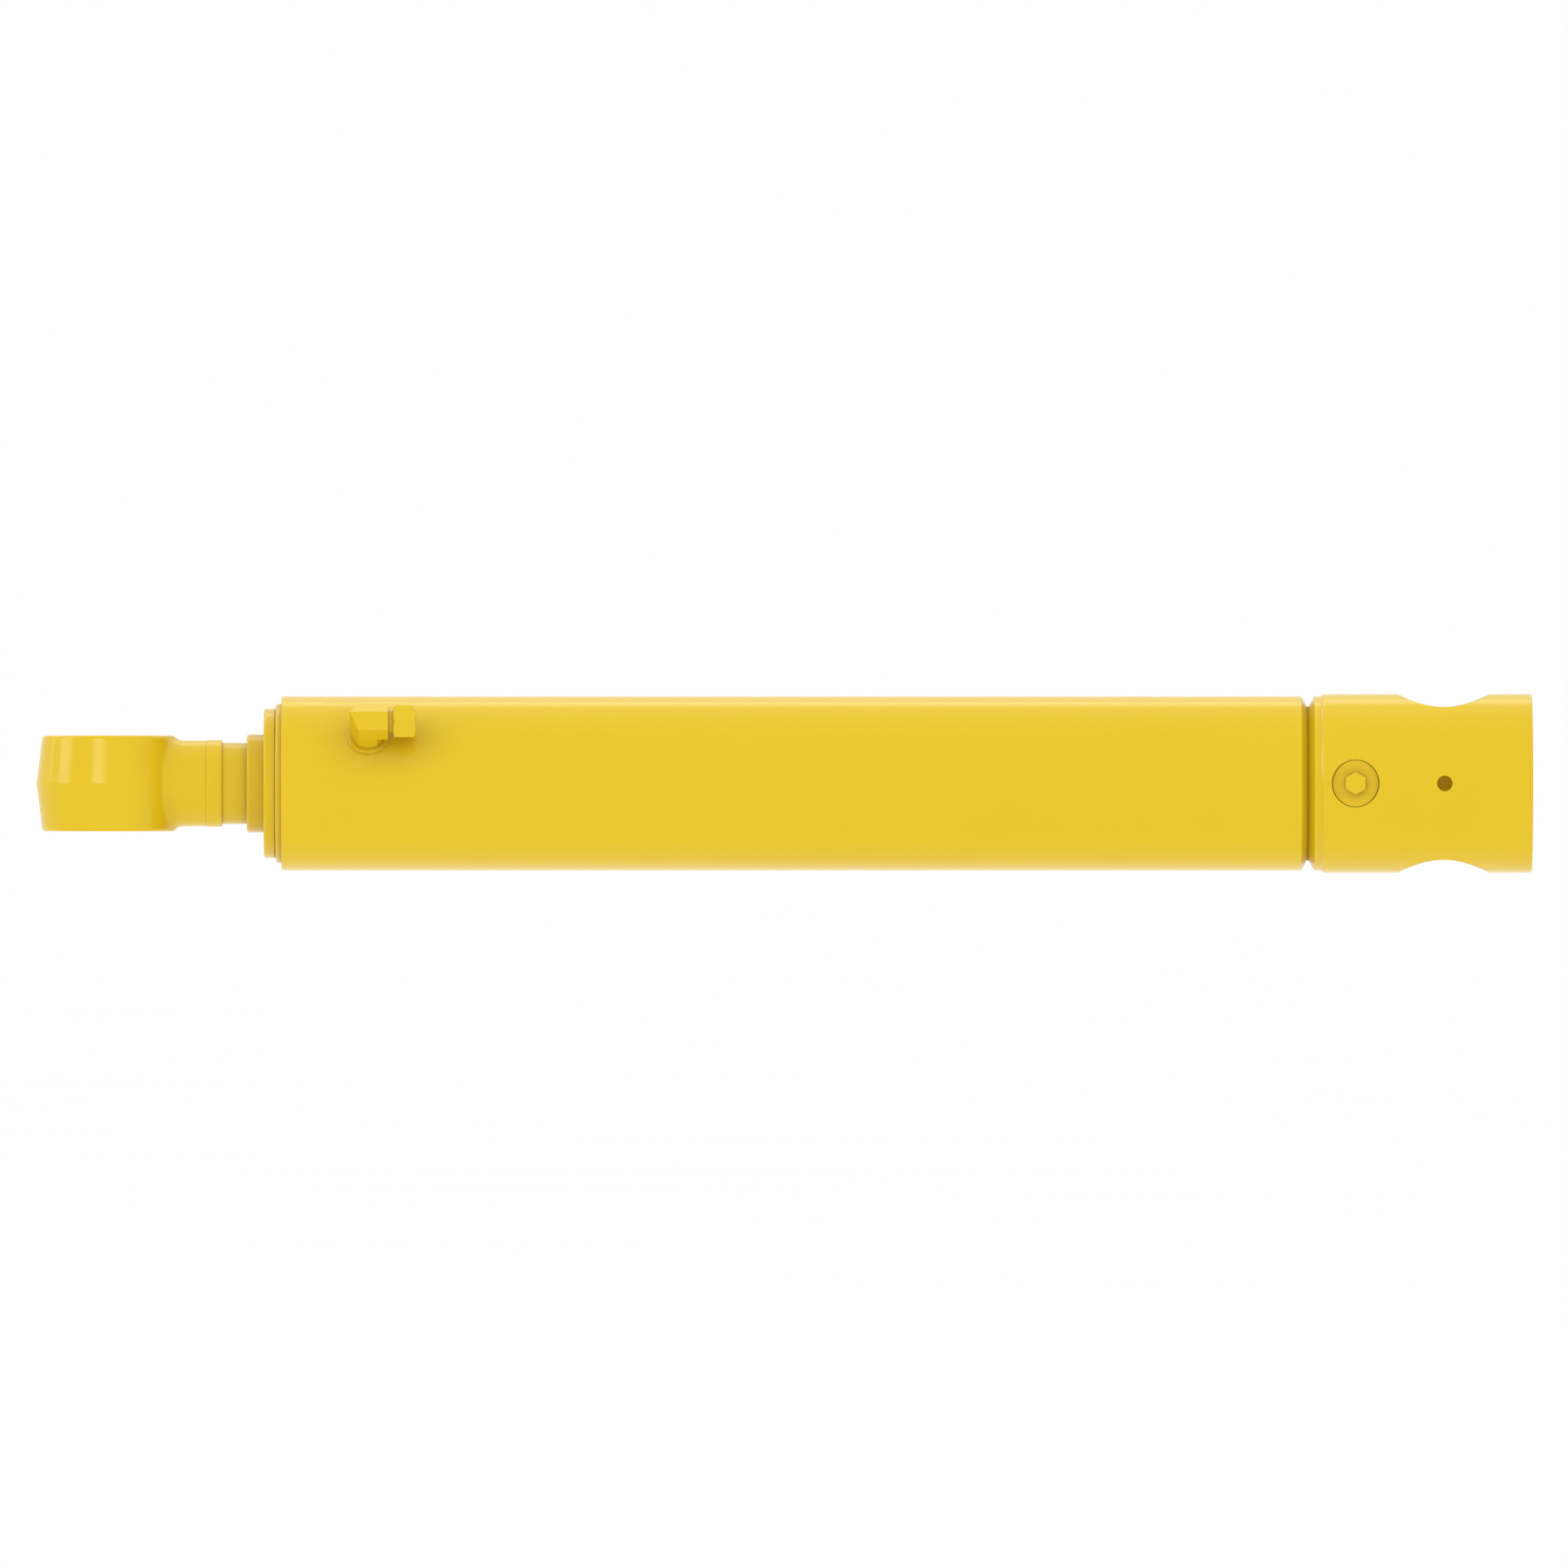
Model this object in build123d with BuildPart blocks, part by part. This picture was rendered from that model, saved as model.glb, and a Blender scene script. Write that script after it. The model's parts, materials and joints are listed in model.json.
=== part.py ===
"""Two-stage, double-acting telescopic hydraulic cylinder, modelled closed, in millimetres.

The cylinder lies along X.  The origin is the centre of the pin bore in the base end, +X points
to the closed end, and the two stages extend towards -X.  +Z is up and runs along both pin bores.
The plugged base port and the lock bolt hole face -Y, the open base port faces +Y, and the
retract port leans up from -Y.

Turned outlines are lists of (x, radius) points about the X axis.
"""

import os
from math import cos, radians, sin, tan

from build123d import *

# ---------------------------------------------------------------- driving dimensions
CLOSED_CENTRES = 1150.0      # base pin bore to rod eye bore
BARREL_R = 75.0
BARREL_BORE_R = 65.0
STAGE_R = 55.0
STAGE_BORE_R = 45.0
ROD_R = 35.0
STROKE = 734.0               # of each stage
STOP_GAP = 0.3               # left between two stops at the end of a stroke

# ---------------------------------------------------------------- fits and edges
RUN = 0.08                   # radial gap of a guide or seal on what slides through it
CLEAR = 0.3                  # radial gap between metal parts that never touch
SEAT = 0.05                  # radial gap of a spigot, thread or seal in its own seat
PLAY = 0.1                   # gap at each end of a band or seal in its groove
LEAD_IN = 1.5                # bevel on the end of a turned part that goes into a bore
BREAK = 0.6                  # bevel that takes off a sharp edge

# ---------------------------------------------------------------- seals and guide bands
LIP_LENGTH = 2.5             # of the inner lip of a U seal
LIP_TIP = 0.6
NOTCH_DEPTH = 4.0            # of the V notch in a U seal
NOTCH_HALF = 1.2
HEEL_GAP = 0.12              # that the body of a U seal stands clear of its lip
WIPER_DEPTH = 7.0            # length of a wiper's groove
WIPER_LIP = 2.6
WIPER_RISE = 1.2             # radial height of a wiper's lip
BAND_SLIT = 2.0
BAND_DEPTH = 2.5             # of a guide band's groove
WIDE_BAND_DEPTH = 3.0        # the same in the larger gland and piston
SEAL_RING = 2.5              # radial thickness of a piston's seal ring
PISTON_SEAL_BED = 3.5        # radial depth left under that ring for its energiser

# ---------------------------------------------------------------- base end and weld groove
BASE_R = 77.0
BASE_END_X = 76.0
PIN_BORE_R = 40.0
LOCK_HOLE_R = 6.6            # clears an M12 bolt
GROOVE_X = -117.0            # middle of the weld groove
GROOVE_DEPTH = 9.3
GROOVE_ANGLE = 30.0          # degrees, each side
ROOT_GAP = 0.6
BEAD_TOE = 0.25
LAND = 5.3                   # ground to the barrel's diameter beside the groove
SHOULDER = 2.4               # length of the rounded step from there up to the base end's diameter
SPIGOT_END_X = -135.0

PORT_X = -76.6
G1_R = 15.4                  # hole for a G1 thread
PORT_FACE_R = 20.4           # spot face around a base port
PLUG_HEAD_R = 19.9
PLUG_HEAD = 6.0
PLUG_SHANK = 16.0
PLUG_FACE = 74.2             # distances of the port faces from the X axis
OPEN_PORT_FACE = 72.0
PLUG_HEX = 17.0              # across flats
PLUG_HEX_HEIGHT = 8.0
PLUG_SEAL_R = 18.0
PLUG_SEAL = 1.8              # thickness
GALLERY_R = 9.0
DISH_R = 32.0                # hollow in the inner face, so that oil reaches the whole first piston
DISH_DEPTH = 5.0

# ---------------------------------------------------------------- barrel mouth and its gland
MOUTH_X = -1000.0
FLANGE_X = MOUTH_X - 5.2
FLANGE_R = 68.6
FLANGE_ROUND = 2.5
FLANGE_HOLES_OUT = 64.2      # spanner holes, from the X axis
FLANGE_HOLE_R = 2.0
GLAND_END_X = -946.0         # inner end of both glands
GLAND_WIPER_R = 60.5
GLAND_SEAL = (-993.0, -983.0)
GLAND_SEAL_R = 61.0
GLAND_BANDS = ((-979.0, -969.0), (-963.0, -953.0))
GLAND_O_RING_X = -965.0
O_RING = 2.8                 # section of the O-rings on the glands and the first piston
O_RING_GROOVE = 4.4          # width of their grooves

# ---------------------------------------------------------------- first stage
HEAD_X = -1015.3
HEAD_R = 64.3
HEAD_LIP = 2.3
HEAD_ROUND = 2.0
HEAD_HOLES_OUT = 58.5
HEAD_HOLE_R = 3.0
NOSE_X = -1030.0
NOSE_R = 42.2
OUTER_TUBE_X = HEAD_X + HEAD_LIP
OUTER_TUBE_BORE_R = 50.0
INNER_TUBE_X = -968.0
INNER_TUBE_R = 48.5
TUBE_END_X = -146.0
STAGE_PISTON_X = -136.5
STAGE_PISTON_FRONT_X = -176.0
OUTER_HOLES_X = -197.0
INNER_HOLES_X = -931.0
STOP_X = GLAND_END_X + STROKE + STOP_GAP
CROSS_HOLES = 6              # oil ways around a tube
OUTER_HOLE_R = 4.0
INNER_HOLE_R = 3.0
SLEEVE_R = 60.0
PISTON_BORE_R = 32.0
TUBE_FOOT = 14.0             # length of the inner tube's foot, which fills the outer tube
TUBE_O_RING_X = TUBE_END_X - 7.0
TUBE_O_RING = 2.2
TUBE_O_RING_GROOVE = 3.3
STAGE_SEAL = (-162.0, -151.0)
STAGE_BANDS = ((-173.5, -165.5), (-147.0, -139.0))
STAGE_O_RING_X = -171.0
NOSE_WIPER_R = 39.4
NOSE_SEAL = (-1010.0, -1000.0)
NOSE_SEAL_R = 40.5
NOSE_BANDS = ((-996.0, -986.0), (-964.0, -954.0))
NOSE_O_RING_X = -978.0

# ---------------------------------------------------------------- rod
ROD_X = -1051.0
ROD_PISTON_X = TUBE_END_X - STOP_GAP
ROD_PISTON_FRONT_X = -187.0
ROD_SPIGOT_R = 20.0
ROD_SPIGOT_END_X = -138.0
ROD_NUT_FLATS = 46.0
ROD_NUT = 19.0
ROD_NUT_RECESS = 12.0
ROD_NUT_BORE_R = 31.0        # recess in the piston around the nut
ROD_SLEEVE_R = 40.0
ROD_SEAL = (-171.5, -161.5)
ROD_SEAL_BED = 3.0
ROD_BANDS = ((-183.5, -175.5), (-157.5, -149.5))
ROD_O_RING_X = -179.0
ROD_O_RING = 2.4
ROD_O_RING_GROOVE = 3.6

# ---------------------------------------------------------------- rod eye
EYE_X = -CLOSED_CENTRES
EYE_BORE_R = 35.0
BUSH_R = 40.0
EYE_HALF = 41.25             # half the eye's width
EYE_R = 61.2                 # at the parting plane
DRAFT = 7.0                  # degrees
EYE_EDGE = 3.0
NECK_R = 37.0
NECK_X = -1065.0
NECK_BLEND = 10.0            # radius between neck and eye
BAND_R = 37.5
EYE_SPIGOT_R = 18.0
EYE_SPIGOT = 14.0            # its length inside the rod
BUSH_CHAMFER = 0.8

# ---------------------------------------------------------------- retract port fitting
FITTING_X = -925.2
FITTING_LEAN = 33.0          # degrees above -Y
BOSS_R = 17.5
BOSS_TOP = 76.1              # heights of the fitting are measured from the X axis
WELD_ROOT = 69.0
WELD_ANGLE = 20.0            # degrees that the weld opens away from the boss
WELD_CROWN = 0.1
WASHER = 2.5
HEX_FLATS = 27.0
OUTLET_HEIGHT = 97.3
OUTLET_END = 17.3            # lengths along the outlet are measured from the stud's axis
NECK_END = 22.0
G_HALF_R = 9.5               # hole for a G1/2 thread
STUD_HEIGHT = 67.0
NUT_LENGTH = 19.2
NUT_COLLAR = 5.0
NUT_RELIEF = 3.0
NUT_RELIEF_R = 10.3
FITTING_NECK_R = 10.0
TAIL_R = 8.6
OIL_WAY_R = 6.0
WIRE_R = 0.7
HEX_BEVEL = 60.0             # degrees from the axis, of the bevel on a hexagon's corners

os.makedirs("parts", exist_ok=True)


def turned(*outline, rounds=None, mode=Mode.ADD):
    """Turns a closed outline about the X axis. rounds gives the radius of chosen corners."""
    with BuildSketch(Plane.XZ) as profile:
        with BuildLine():
            Polyline(*outline, close=True)
        make_face()
        for corner, radius in (rounds or {}).items():
            fillet(profile.vertices().sort_by_distance(corner)[0], radius=radius)
    revolve(profile.sketch, axis=Axis.X, mode=mode)


def ring(start, end, inner, outer, mode=Mode.ADD):
    """A plain turned ring between two x stations."""
    turned((start, inner), (end, inner), (end, outer), (start, outer), mode=mode)


def disc(start, end, radius, mode=Mode.ADD):
    """A plain turned disc between two x stations."""
    turned((start, 0), (end, 0), (end, radius), (start, radius), mode=mode)


def o_ring(x, seat, section):
    """A ring of round section that lies on a seat of that radius."""
    with BuildSketch(Plane.XZ) as profile:
        with Locations((x, seat + section / 2)):
            Circle(section / 2)
    revolve(profile.sketch, axis=Axis.X)


def o_ring_groove(x, inner, outer, width):
    """Cuts a square groove whose middle is at x."""
    ring(x - width / 2, x + width / 2, inner, outer, mode=Mode.SUBTRACT)


def split_band(start, end, inner, outer):
    """A guide ring with the slit that lets it spring into its groove."""
    ring(start, end, inner, outer)
    with BuildSketch(Plane.XY) as gap:
        with Locations(((start + end) / 2, 0)):
            Rectangle(end - start, BAND_SLIT)
    extrude(gap.sketch, amount=outer, mode=Mode.SUBTRACT)


def u_seal(start, end, inner, outer):
    """A U-section seal. Its notch opens at end, and its inner lip reaches in to inner."""
    heel = inner + HEEL_GAP
    middle = (inner + outer) / 2
    turned(
        (start, heel),
        (end - LIP_LENGTH, heel),
        (end - LIP_LENGTH / 3, inner),
        (end, inner + LIP_TIP),
        (end, middle - NOTCH_HALF),
        (end - NOTCH_DEPTH, middle),
        (end, middle + NOTCH_HALF),
        (end, outer),
        (start, outer),
    )


def wiper(mouth, lip, outer):
    """A wiper: its body fills an open groove, and its lip points out of the mouth."""
    turned(
        (mouth, lip),
        (mouth + WIPER_LIP, lip + WIPER_RISE),
        (mouth + WIPER_DEPTH, lip + WIPER_RISE),
        (mouth + WIPER_DEPTH, outer),
        (mouth + WIPER_LIP / 2, outer),
        (mouth, lip + LIP_TIP),
    )


def cross_holes(x, radius, reach):
    """Radial holes, evenly spaced around the X axis."""
    for turn in range(CROSS_HOLES):
        angle = radians(360 / CROSS_HOLES * turn)
        with BuildSketch(Plane((x, 0, 0), x_dir=(1, 0, 0), z_dir=(0, sin(angle), cos(angle)))) as hole:
            Circle(radius)
        extrude(hole.sketch, amount=reach, mode=Mode.SUBTRACT)


def spanner_holes(face, distance, radius, first_angle):
    """Four holes for a face spanner, in a face square to the X axis, at a distance from it."""
    with BuildSketch(Plane.YZ.offset(face)) as holes:
        with PolarLocations(distance, 4, start_angle=first_angle):
            Circle(radius)
    extrude(holes.sketch, amount=2 * radius, mode=Mode.SUBTRACT)


# ================================================================ base end
groove_half = ROOT_GAP / 2 + GROOVE_DEPTH * tan(radians(GROOVE_ANGLE))
groove_root_r = BARREL_R - GROOVE_DEPTH
groove_near_x = GROOVE_X - ROOT_GAP / 2      # root faces of the barrel and of the base end
groove_far_x = GROOVE_X + ROOT_GAP / 2
spigot_r = BARREL_BORE_R - SEAT
head_seat = PLUG_FACE - PLUG_HEAD
thread_floor = head_seat - PLUG_SHANK - 2
front = Plane((PORT_X, 0, 0), x_dir=(1, 0, 0), z_dir=(0, -1, 0))
rear = Plane((PORT_X, 0, 0), x_dir=(-1, 0, 0), z_dir=(0, 1, 0))

with BuildPart() as base_end:
    land = (GROOVE_X + groove_half + LAND, BARREL_R)
    shoulder = (land[0] + SHOULDER, BASE_R)
    turned(
        (SPIGOT_END_X, 0),
        (BASE_END_X, 0),
        (BASE_END_X, BASE_R - 1),
        (BASE_END_X - 1, BASE_R),
        shoulder,
        land,
        (GROOVE_X + groove_half, BARREL_R),
        (groove_far_x, groove_root_r),
        (groove_far_x, spigot_r),
        (SPIGOT_END_X + LEAD_IN, spigot_r),
        (SPIGOT_END_X, spigot_r - LEAD_IN),
        rounds={shoulder: SHOULDER - 0.1, land: SHOULDER / 2},
    )
    # pin bore, and the hole for the bolt that locks the pin
    with BuildSketch(Plane.XY.offset(-BASE_R)):
        Circle(PIN_BORE_R)
    extrude(amount=2 * BASE_R, mode=Mode.SUBTRACT)
    with BuildSketch(Plane.XZ):
        Circle(LOCK_HOLE_R)
    extrude(amount=BASE_R, mode=Mode.SUBTRACT)
    # the two ports, each a spot face and a threaded hole, joined by a cross gallery
    for side, face in ((front, head_seat), (rear, OPEN_PORT_FACE)):
        with BuildSketch(side.offset(face)):
            Circle(PORT_FACE_R)
        extrude(amount=BASE_R, mode=Mode.SUBTRACT)
        with BuildSketch(side.offset(thread_floor)):
            Circle(G1_R)
        extrude(amount=BASE_R, mode=Mode.SUBTRACT)
    with BuildSketch(rear.offset(-thread_floor)):
        Circle(GALLERY_R)
    extrude(amount=2 * thread_floor, mode=Mode.SUBTRACT)
    # gallery from the ports to the barrel, ending in a shallow dish
    disc(SPIGOT_END_X, PORT_X, GALLERY_R, mode=Mode.SUBTRACT)
    turned(
        (SPIGOT_END_X, 0),
        (SPIGOT_END_X + DISH_DEPTH, 0),
        (SPIGOT_END_X + DISH_DEPTH, DISH_R - DISH_DEPTH),
        (SPIGOT_END_X, DISH_R),
        mode=Mode.SUBTRACT,
    )
base_end.part.label = "base_end"
export_step(base_end.part, "parts/base_end.step")

with BuildPart() as base_root_weld:
    bead_r = groove_root_r + BEAD_TOE / tan(radians(GROOVE_ANGLE))
    turned(
        (groove_near_x, BARREL_BORE_R),
        (groove_far_x, BARREL_BORE_R),
        (groove_far_x, groove_root_r),
        (groove_far_x + BEAD_TOE, bead_r),
        (GROOVE_X, bead_r + BEAD_TOE / 2),
        (groove_near_x - BEAD_TOE, bead_r),
        (groove_near_x, groove_root_r),
    )
base_root_weld.part.label = "base_root_weld"
export_step(base_root_weld.part, "parts/base_root_weld.step")

with BuildPart() as base_port_plug:
    with BuildSketch(front.offset(head_seat)):
        Circle(PLUG_HEAD_R)
    extrude(amount=PLUG_HEAD)
    with BuildSketch(front.offset(head_seat)):
        Circle(G1_R - SEAT)
    extrude(amount=-PLUG_SHANK)
    chamfer(base_port_plug.edges().group_by(Axis.Y)[-1], length=LEAD_IN)
    # raised hexagon for a spanner
    with BuildSketch(front.offset(PLUG_FACE)):
        RegularPolygon(PLUG_HEX / 2, 6, major_radius=False, rotation=30)
    extrude(amount=PLUG_HEX_HEIGHT)
    chamfer(base_port_plug.edges().group_by(Axis.Y)[0], length=BREAK)
    # recess for the sealing ring
    with BuildSketch(front.offset(head_seat)):
        Circle(PLUG_SEAL_R)
        Circle(G1_R - SEAT, mode=Mode.SUBTRACT)
    extrude(amount=PLUG_SEAL, mode=Mode.SUBTRACT)
base_port_plug.part.label = "base_port_plug"
export_step(base_port_plug.part, "parts/base_port_plug.step")

with BuildPart() as base_port_plug_seal:
    with BuildSketch(front.offset(head_seat)):
        Circle(PLUG_SEAL_R - SEAT)
        Circle(G1_R + SEAT, mode=Mode.SUBTRACT)
    extrude(amount=PLUG_SEAL)
base_port_plug_seal.part.label = "base_port_plug_seal"
export_step(base_port_plug_seal.part, "parts/base_port_plug_seal.step")

# ================================================================ barrel
lean = radians(FITTING_LEAN)
stud_plane = Plane((FITTING_X, 0, 0), x_dir=(1, 0, 0), z_dir=(0, -cos(lean), sin(lean)))


def boss_blank(top, mode):
    """The round boss from the middle of the barrel up to top, let in through the barrel's wall."""
    with BuildSketch(stud_plane) as outline:
        Circle(BOSS_R)
    extrude(outline.sketch, amount=top, mode=mode)


def boss_weld_groove(mode):
    """The groove around the boss in the barrel's outside, which opens away from the boss."""
    with BuildSketch(stud_plane.offset(WELD_ROOT)) as root:
        Circle(BOSS_R)
    extrude(root.sketch, amount=BARREL_R + BOSS_R - WELD_ROOT, taper=-WELD_ANGLE, mode=mode)


with BuildPart() as barrel_tube:
    turned(
        (MOUTH_X, BARREL_BORE_R + BREAK),
        (MOUTH_X + BREAK, BARREL_BORE_R),
        (groove_near_x, BARREL_BORE_R),
        (groove_near_x, groove_root_r),
        (GROOVE_X - groove_half, BARREL_R),
        (MOUTH_X + BREAK, BARREL_R),
        (MOUTH_X, BARREL_R - BREAK),
    )
    boss_blank(BARREL_R, Mode.SUBTRACT)
    boss_weld_groove(Mode.SUBTRACT)
barrel_tube.part.label = "barrel_tube"
export_step(barrel_tube.part, "parts/barrel_tube.step")

# ================================================================ retract port fitting
boss_span = (FITTING_X - 2 * BOSS_R, FITTING_X + 2 * BOSS_R)

with BuildPart() as port_boss:
    boss_blank(BOSS_TOP, Mode.ADD)
    chamfer(port_boss.edges().sort_by(Axis(stud_plane.origin, stud_plane.z_dir))[-1], length=BREAK)
    disc(boss_span[0], boss_span[1], BARREL_BORE_R, mode=Mode.SUBTRACT)
    with BuildSketch(stud_plane):
        Circle(G_HALF_R)
    extrude(amount=BOSS_TOP, mode=Mode.SUBTRACT)
port_boss.part.label = "port_boss"
export_step(port_boss.part, "parts/port_boss.step")

with BuildPart() as port_boss_weld:
    boss_weld_groove(Mode.ADD)
    disc(boss_span[0], boss_span[1], BARREL_R + WELD_CROWN, mode=Mode.INTERSECT)
    boss_blank(BARREL_R + BOSS_R, Mode.SUBTRACT)
port_boss_weld.part.label = "port_boss_weld"
export_step(port_boss_weld.part, "parts/port_boss_weld.step")

outlet_centre = stud_plane.from_local_coords((0, 0, OUTLET_HEIGHT))
outlet_plane = Plane(outlet_centre, x_dir=stud_plane.z_dir, z_dir=(1, 0, 0))
mitre_plane = Plane(outlet_centre, z_dir=stud_plane.z_dir + Vector(1, 0, 0))
hex_bottom = BOSS_TOP + WASHER
collar_end = NECK_END + NUT_COLLAR
tail_end = collar_end + NUT_RELIEF
nut_end = NECK_END + NUT_LENGTH


def wire_ring(section, mode=Mode.ADD):
    """A ring of round section about the outlet's axis, where the wire holds the nut on its tail."""
    with BuildSketch(Plane(outlet_centre, x_dir=(1, 0, 0), z_dir=(0, -sin(lean), -cos(lean)))) as wire:
        with Locations((NECK_END + NUT_COLLAR / 2, TAIL_R)):
            Circle(section)
    revolve(wire.sketch, axis=Axis(outlet_centre, (1, 0, 0)), mode=mode)


with BuildPart() as stud_leg:
    with BuildSketch(stud_plane.offset(hex_bottom)):
        RegularPolygon(HEX_FLATS / 2, 6, major_radius=False)
    extrude(amount=OUTLET_HEIGHT - hex_bottom + HEX_FLATS)
    with BuildSketch(stud_plane.offset(hex_bottom)):
        Circle(HEX_FLATS / 2)
    extrude(amount=OUTLET_HEIGHT - hex_bottom + HEX_FLATS, taper=-HEX_BEVEL, mode=Mode.INTERSECT)
    split(bisect_by=mitre_plane, keep=Keep.BOTTOM)

with BuildPart() as outlet_leg:
    with BuildSketch(outlet_plane.offset(OUTLET_END)):
        RegularPolygon(HEX_FLATS / 2, 6, major_radius=False)
    extrude(amount=-OUTLET_END - HEX_FLATS)
    split(bisect_by=mitre_plane, keep=Keep.TOP)

with BuildPart() as port_elbow:
    add(stud_leg.part)
    add(outlet_leg.part)
    with BuildSketch(stud_plane.offset(STUD_HEIGHT)):
        Circle(G_HALF_R - SEAT)
    extrude(amount=hex_bottom - STUD_HEIGHT)
    with BuildSketch(outlet_plane.offset(OUTLET_END)):
        Circle(FITTING_NECK_R)
    extrude(amount=NECK_END - OUTLET_END)
    with BuildSketch(outlet_plane.offset(NECK_END)):
        Circle(TAIL_R)
    extrude(amount=tail_end - NECK_END)
    chamfer(port_elbow.edges().sort_by(Axis.X)[-1], length=LEAD_IN)
    wire_ring(WIRE_R + SEAT, mode=Mode.SUBTRACT)
    # oil ways
    with BuildSketch(stud_plane.offset(STUD_HEIGHT)):
        Circle(OIL_WAY_R)
    extrude(amount=OUTLET_HEIGHT - STUD_HEIGHT, mode=Mode.SUBTRACT)
    with BuildSketch(outlet_plane):
        Circle(OIL_WAY_R)
    extrude(amount=tail_end, mode=Mode.SUBTRACT)
port_elbow.part.label = "port_elbow"
export_step(port_elbow.part, "parts/port_elbow.step")

with BuildPart() as port_elbow_seal:
    with BuildSketch(stud_plane.offset(BOSS_TOP)):
        Circle(HEX_FLATS / 2)
        Circle(G_HALF_R + SEAT, mode=Mode.SUBTRACT)
    extrude(amount=WASHER)
port_elbow_seal.part.label = "port_elbow_seal"
export_step(port_elbow_seal.part, "parts/port_elbow_seal.step")

with BuildPart() as swivel_nut_wire:
    wire_ring(WIRE_R)
swivel_nut_wire.part.label = "swivel_nut_wire"
export_step(swivel_nut_wire.part, "parts/swivel_nut_wire.step")

with BuildPart() as swivel_nut:
    with BuildSketch(outlet_plane.offset(NECK_END)):
        RegularPolygon(HEX_FLATS / 2, 6, major_radius=False, rotation=30)
    extrude(amount=NUT_LENGTH)
    # both ends are bevelled at the corners
    with BuildSketch(outlet_plane.offset(nut_end)):
        Circle(HEX_FLATS / 2 - BREAK)
    extrude(amount=-NUT_LENGTH, taper=-HEX_BEVEL, mode=Mode.INTERSECT)
    with BuildSketch(outlet_plane.offset(NECK_END)):
        Circle(HEX_FLATS / 2)
    extrude(amount=NUT_LENGTH, taper=-HEX_BEVEL, mode=Mode.INTERSECT)
    for start, end, radius in (
        (NECK_END, collar_end, TAIL_R + RUN),
        (collar_end, tail_end, NUT_RELIEF_R),
        (tail_end, nut_end, G_HALF_R),
    ):
        with BuildSketch(outlet_plane.offset(start)):
            Circle(radius)
        extrude(amount=end - start, mode=Mode.SUBTRACT)
    wire_ring(WIRE_R + RUN, mode=Mode.SUBTRACT)
swivel_nut.part.label = "swivel_nut"
export_step(swivel_nut.part, "parts/swivel_nut.step")

# ================================================================ barrel gland
gland_band_r = STAGE_R + WIDE_BAND_DEPTH

with BuildPart() as barrel_gland:
    turned(
        (FLANGE_X, STAGE_R + CLEAR),
        (GLAND_END_X, STAGE_R + CLEAR),
        (GLAND_END_X, spigot_r - LEAD_IN),
        (GLAND_END_X - LEAD_IN, spigot_r),
        (MOUTH_X, spigot_r),
        (MOUTH_X, FLANGE_R),
        (FLANGE_X, FLANGE_R),
        rounds={(FLANGE_X, FLANGE_R): FLANGE_ROUND},
    )
    ring(FLANGE_X, FLANGE_X + WIPER_DEPTH, STAGE_R, GLAND_WIPER_R, mode=Mode.SUBTRACT)
    ring(GLAND_SEAL[0], GLAND_SEAL[1], STAGE_R, GLAND_SEAL_R, mode=Mode.SUBTRACT)
    for start, end in GLAND_BANDS:
        ring(start, end, STAGE_R, gland_band_r, mode=Mode.SUBTRACT)
    o_ring_groove(GLAND_O_RING_X, BARREL_BORE_R - O_RING, BARREL_BORE_R, O_RING_GROOVE)
    spanner_holes(FLANGE_X, FLANGE_HOLES_OUT, FLANGE_HOLE_R, first_angle=45)
barrel_gland.part.label = "barrel_gland"
export_step(barrel_gland.part, "parts/barrel_gland.step")

with BuildPart() as barrel_gland_wiper:
    wiper(FLANGE_X, STAGE_R + RUN, GLAND_WIPER_R - SEAT)
barrel_gland_wiper.part.label = "barrel_gland_wiper"
export_step(barrel_gland_wiper.part, "parts/barrel_gland_wiper.step")

with BuildPart() as barrel_gland_seal:
    u_seal(GLAND_SEAL[0] + PLAY, GLAND_SEAL[1] - PLAY, STAGE_R + RUN, GLAND_SEAL_R - SEAT)
barrel_gland_seal.part.label = "barrel_gland_seal"
export_step(barrel_gland_seal.part, "parts/barrel_gland_seal.step")

with BuildPart() as barrel_gland_bands:
    for start, end in GLAND_BANDS:
        split_band(start + PLAY, end - PLAY, STAGE_R + RUN, gland_band_r - SEAT)
barrel_gland_bands.part.label = "barrel_gland_bands"
export_step(barrel_gland_bands.part, "parts/barrel_gland_bands.step")

with BuildPart() as barrel_gland_o_ring:
    o_ring(GLAND_O_RING_X, BARREL_BORE_R - O_RING, O_RING)
barrel_gland_o_ring.part.label = "barrel_gland_o_ring"
export_step(barrel_gland_o_ring.part, "parts/barrel_gland_o_ring.step")

# ================================================================ first stage
with BuildPart() as stage1_outer_tube:
    ring(OUTER_TUBE_X, TUBE_END_X, OUTER_TUBE_BORE_R, STAGE_R)
    cross_holes(OUTER_HOLES_X, OUTER_HOLE_R, STAGE_R + 1)
stage1_outer_tube.part.label = "stage1_outer_tube"
export_step(stage1_outer_tube.part, "parts/stage1_outer_tube.step")

with BuildPart() as stage1_inner_tube:
    ring(INNER_TUBE_X, TUBE_END_X, STAGE_BORE_R, INNER_TUBE_R)
    ring(TUBE_END_X - TUBE_FOOT, TUBE_END_X, STAGE_BORE_R, OUTER_TUBE_BORE_R - SEAT)
    o_ring_groove(TUBE_O_RING_X, OUTER_TUBE_BORE_R - TUBE_O_RING, OUTER_TUBE_BORE_R, TUBE_O_RING_GROOVE)
    cross_holes(INNER_HOLES_X, INNER_HOLE_R, INNER_TUBE_R + 1)
stage1_inner_tube.part.label = "stage1_inner_tube"
export_step(stage1_inner_tube.part, "parts/stage1_inner_tube.step")

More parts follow.
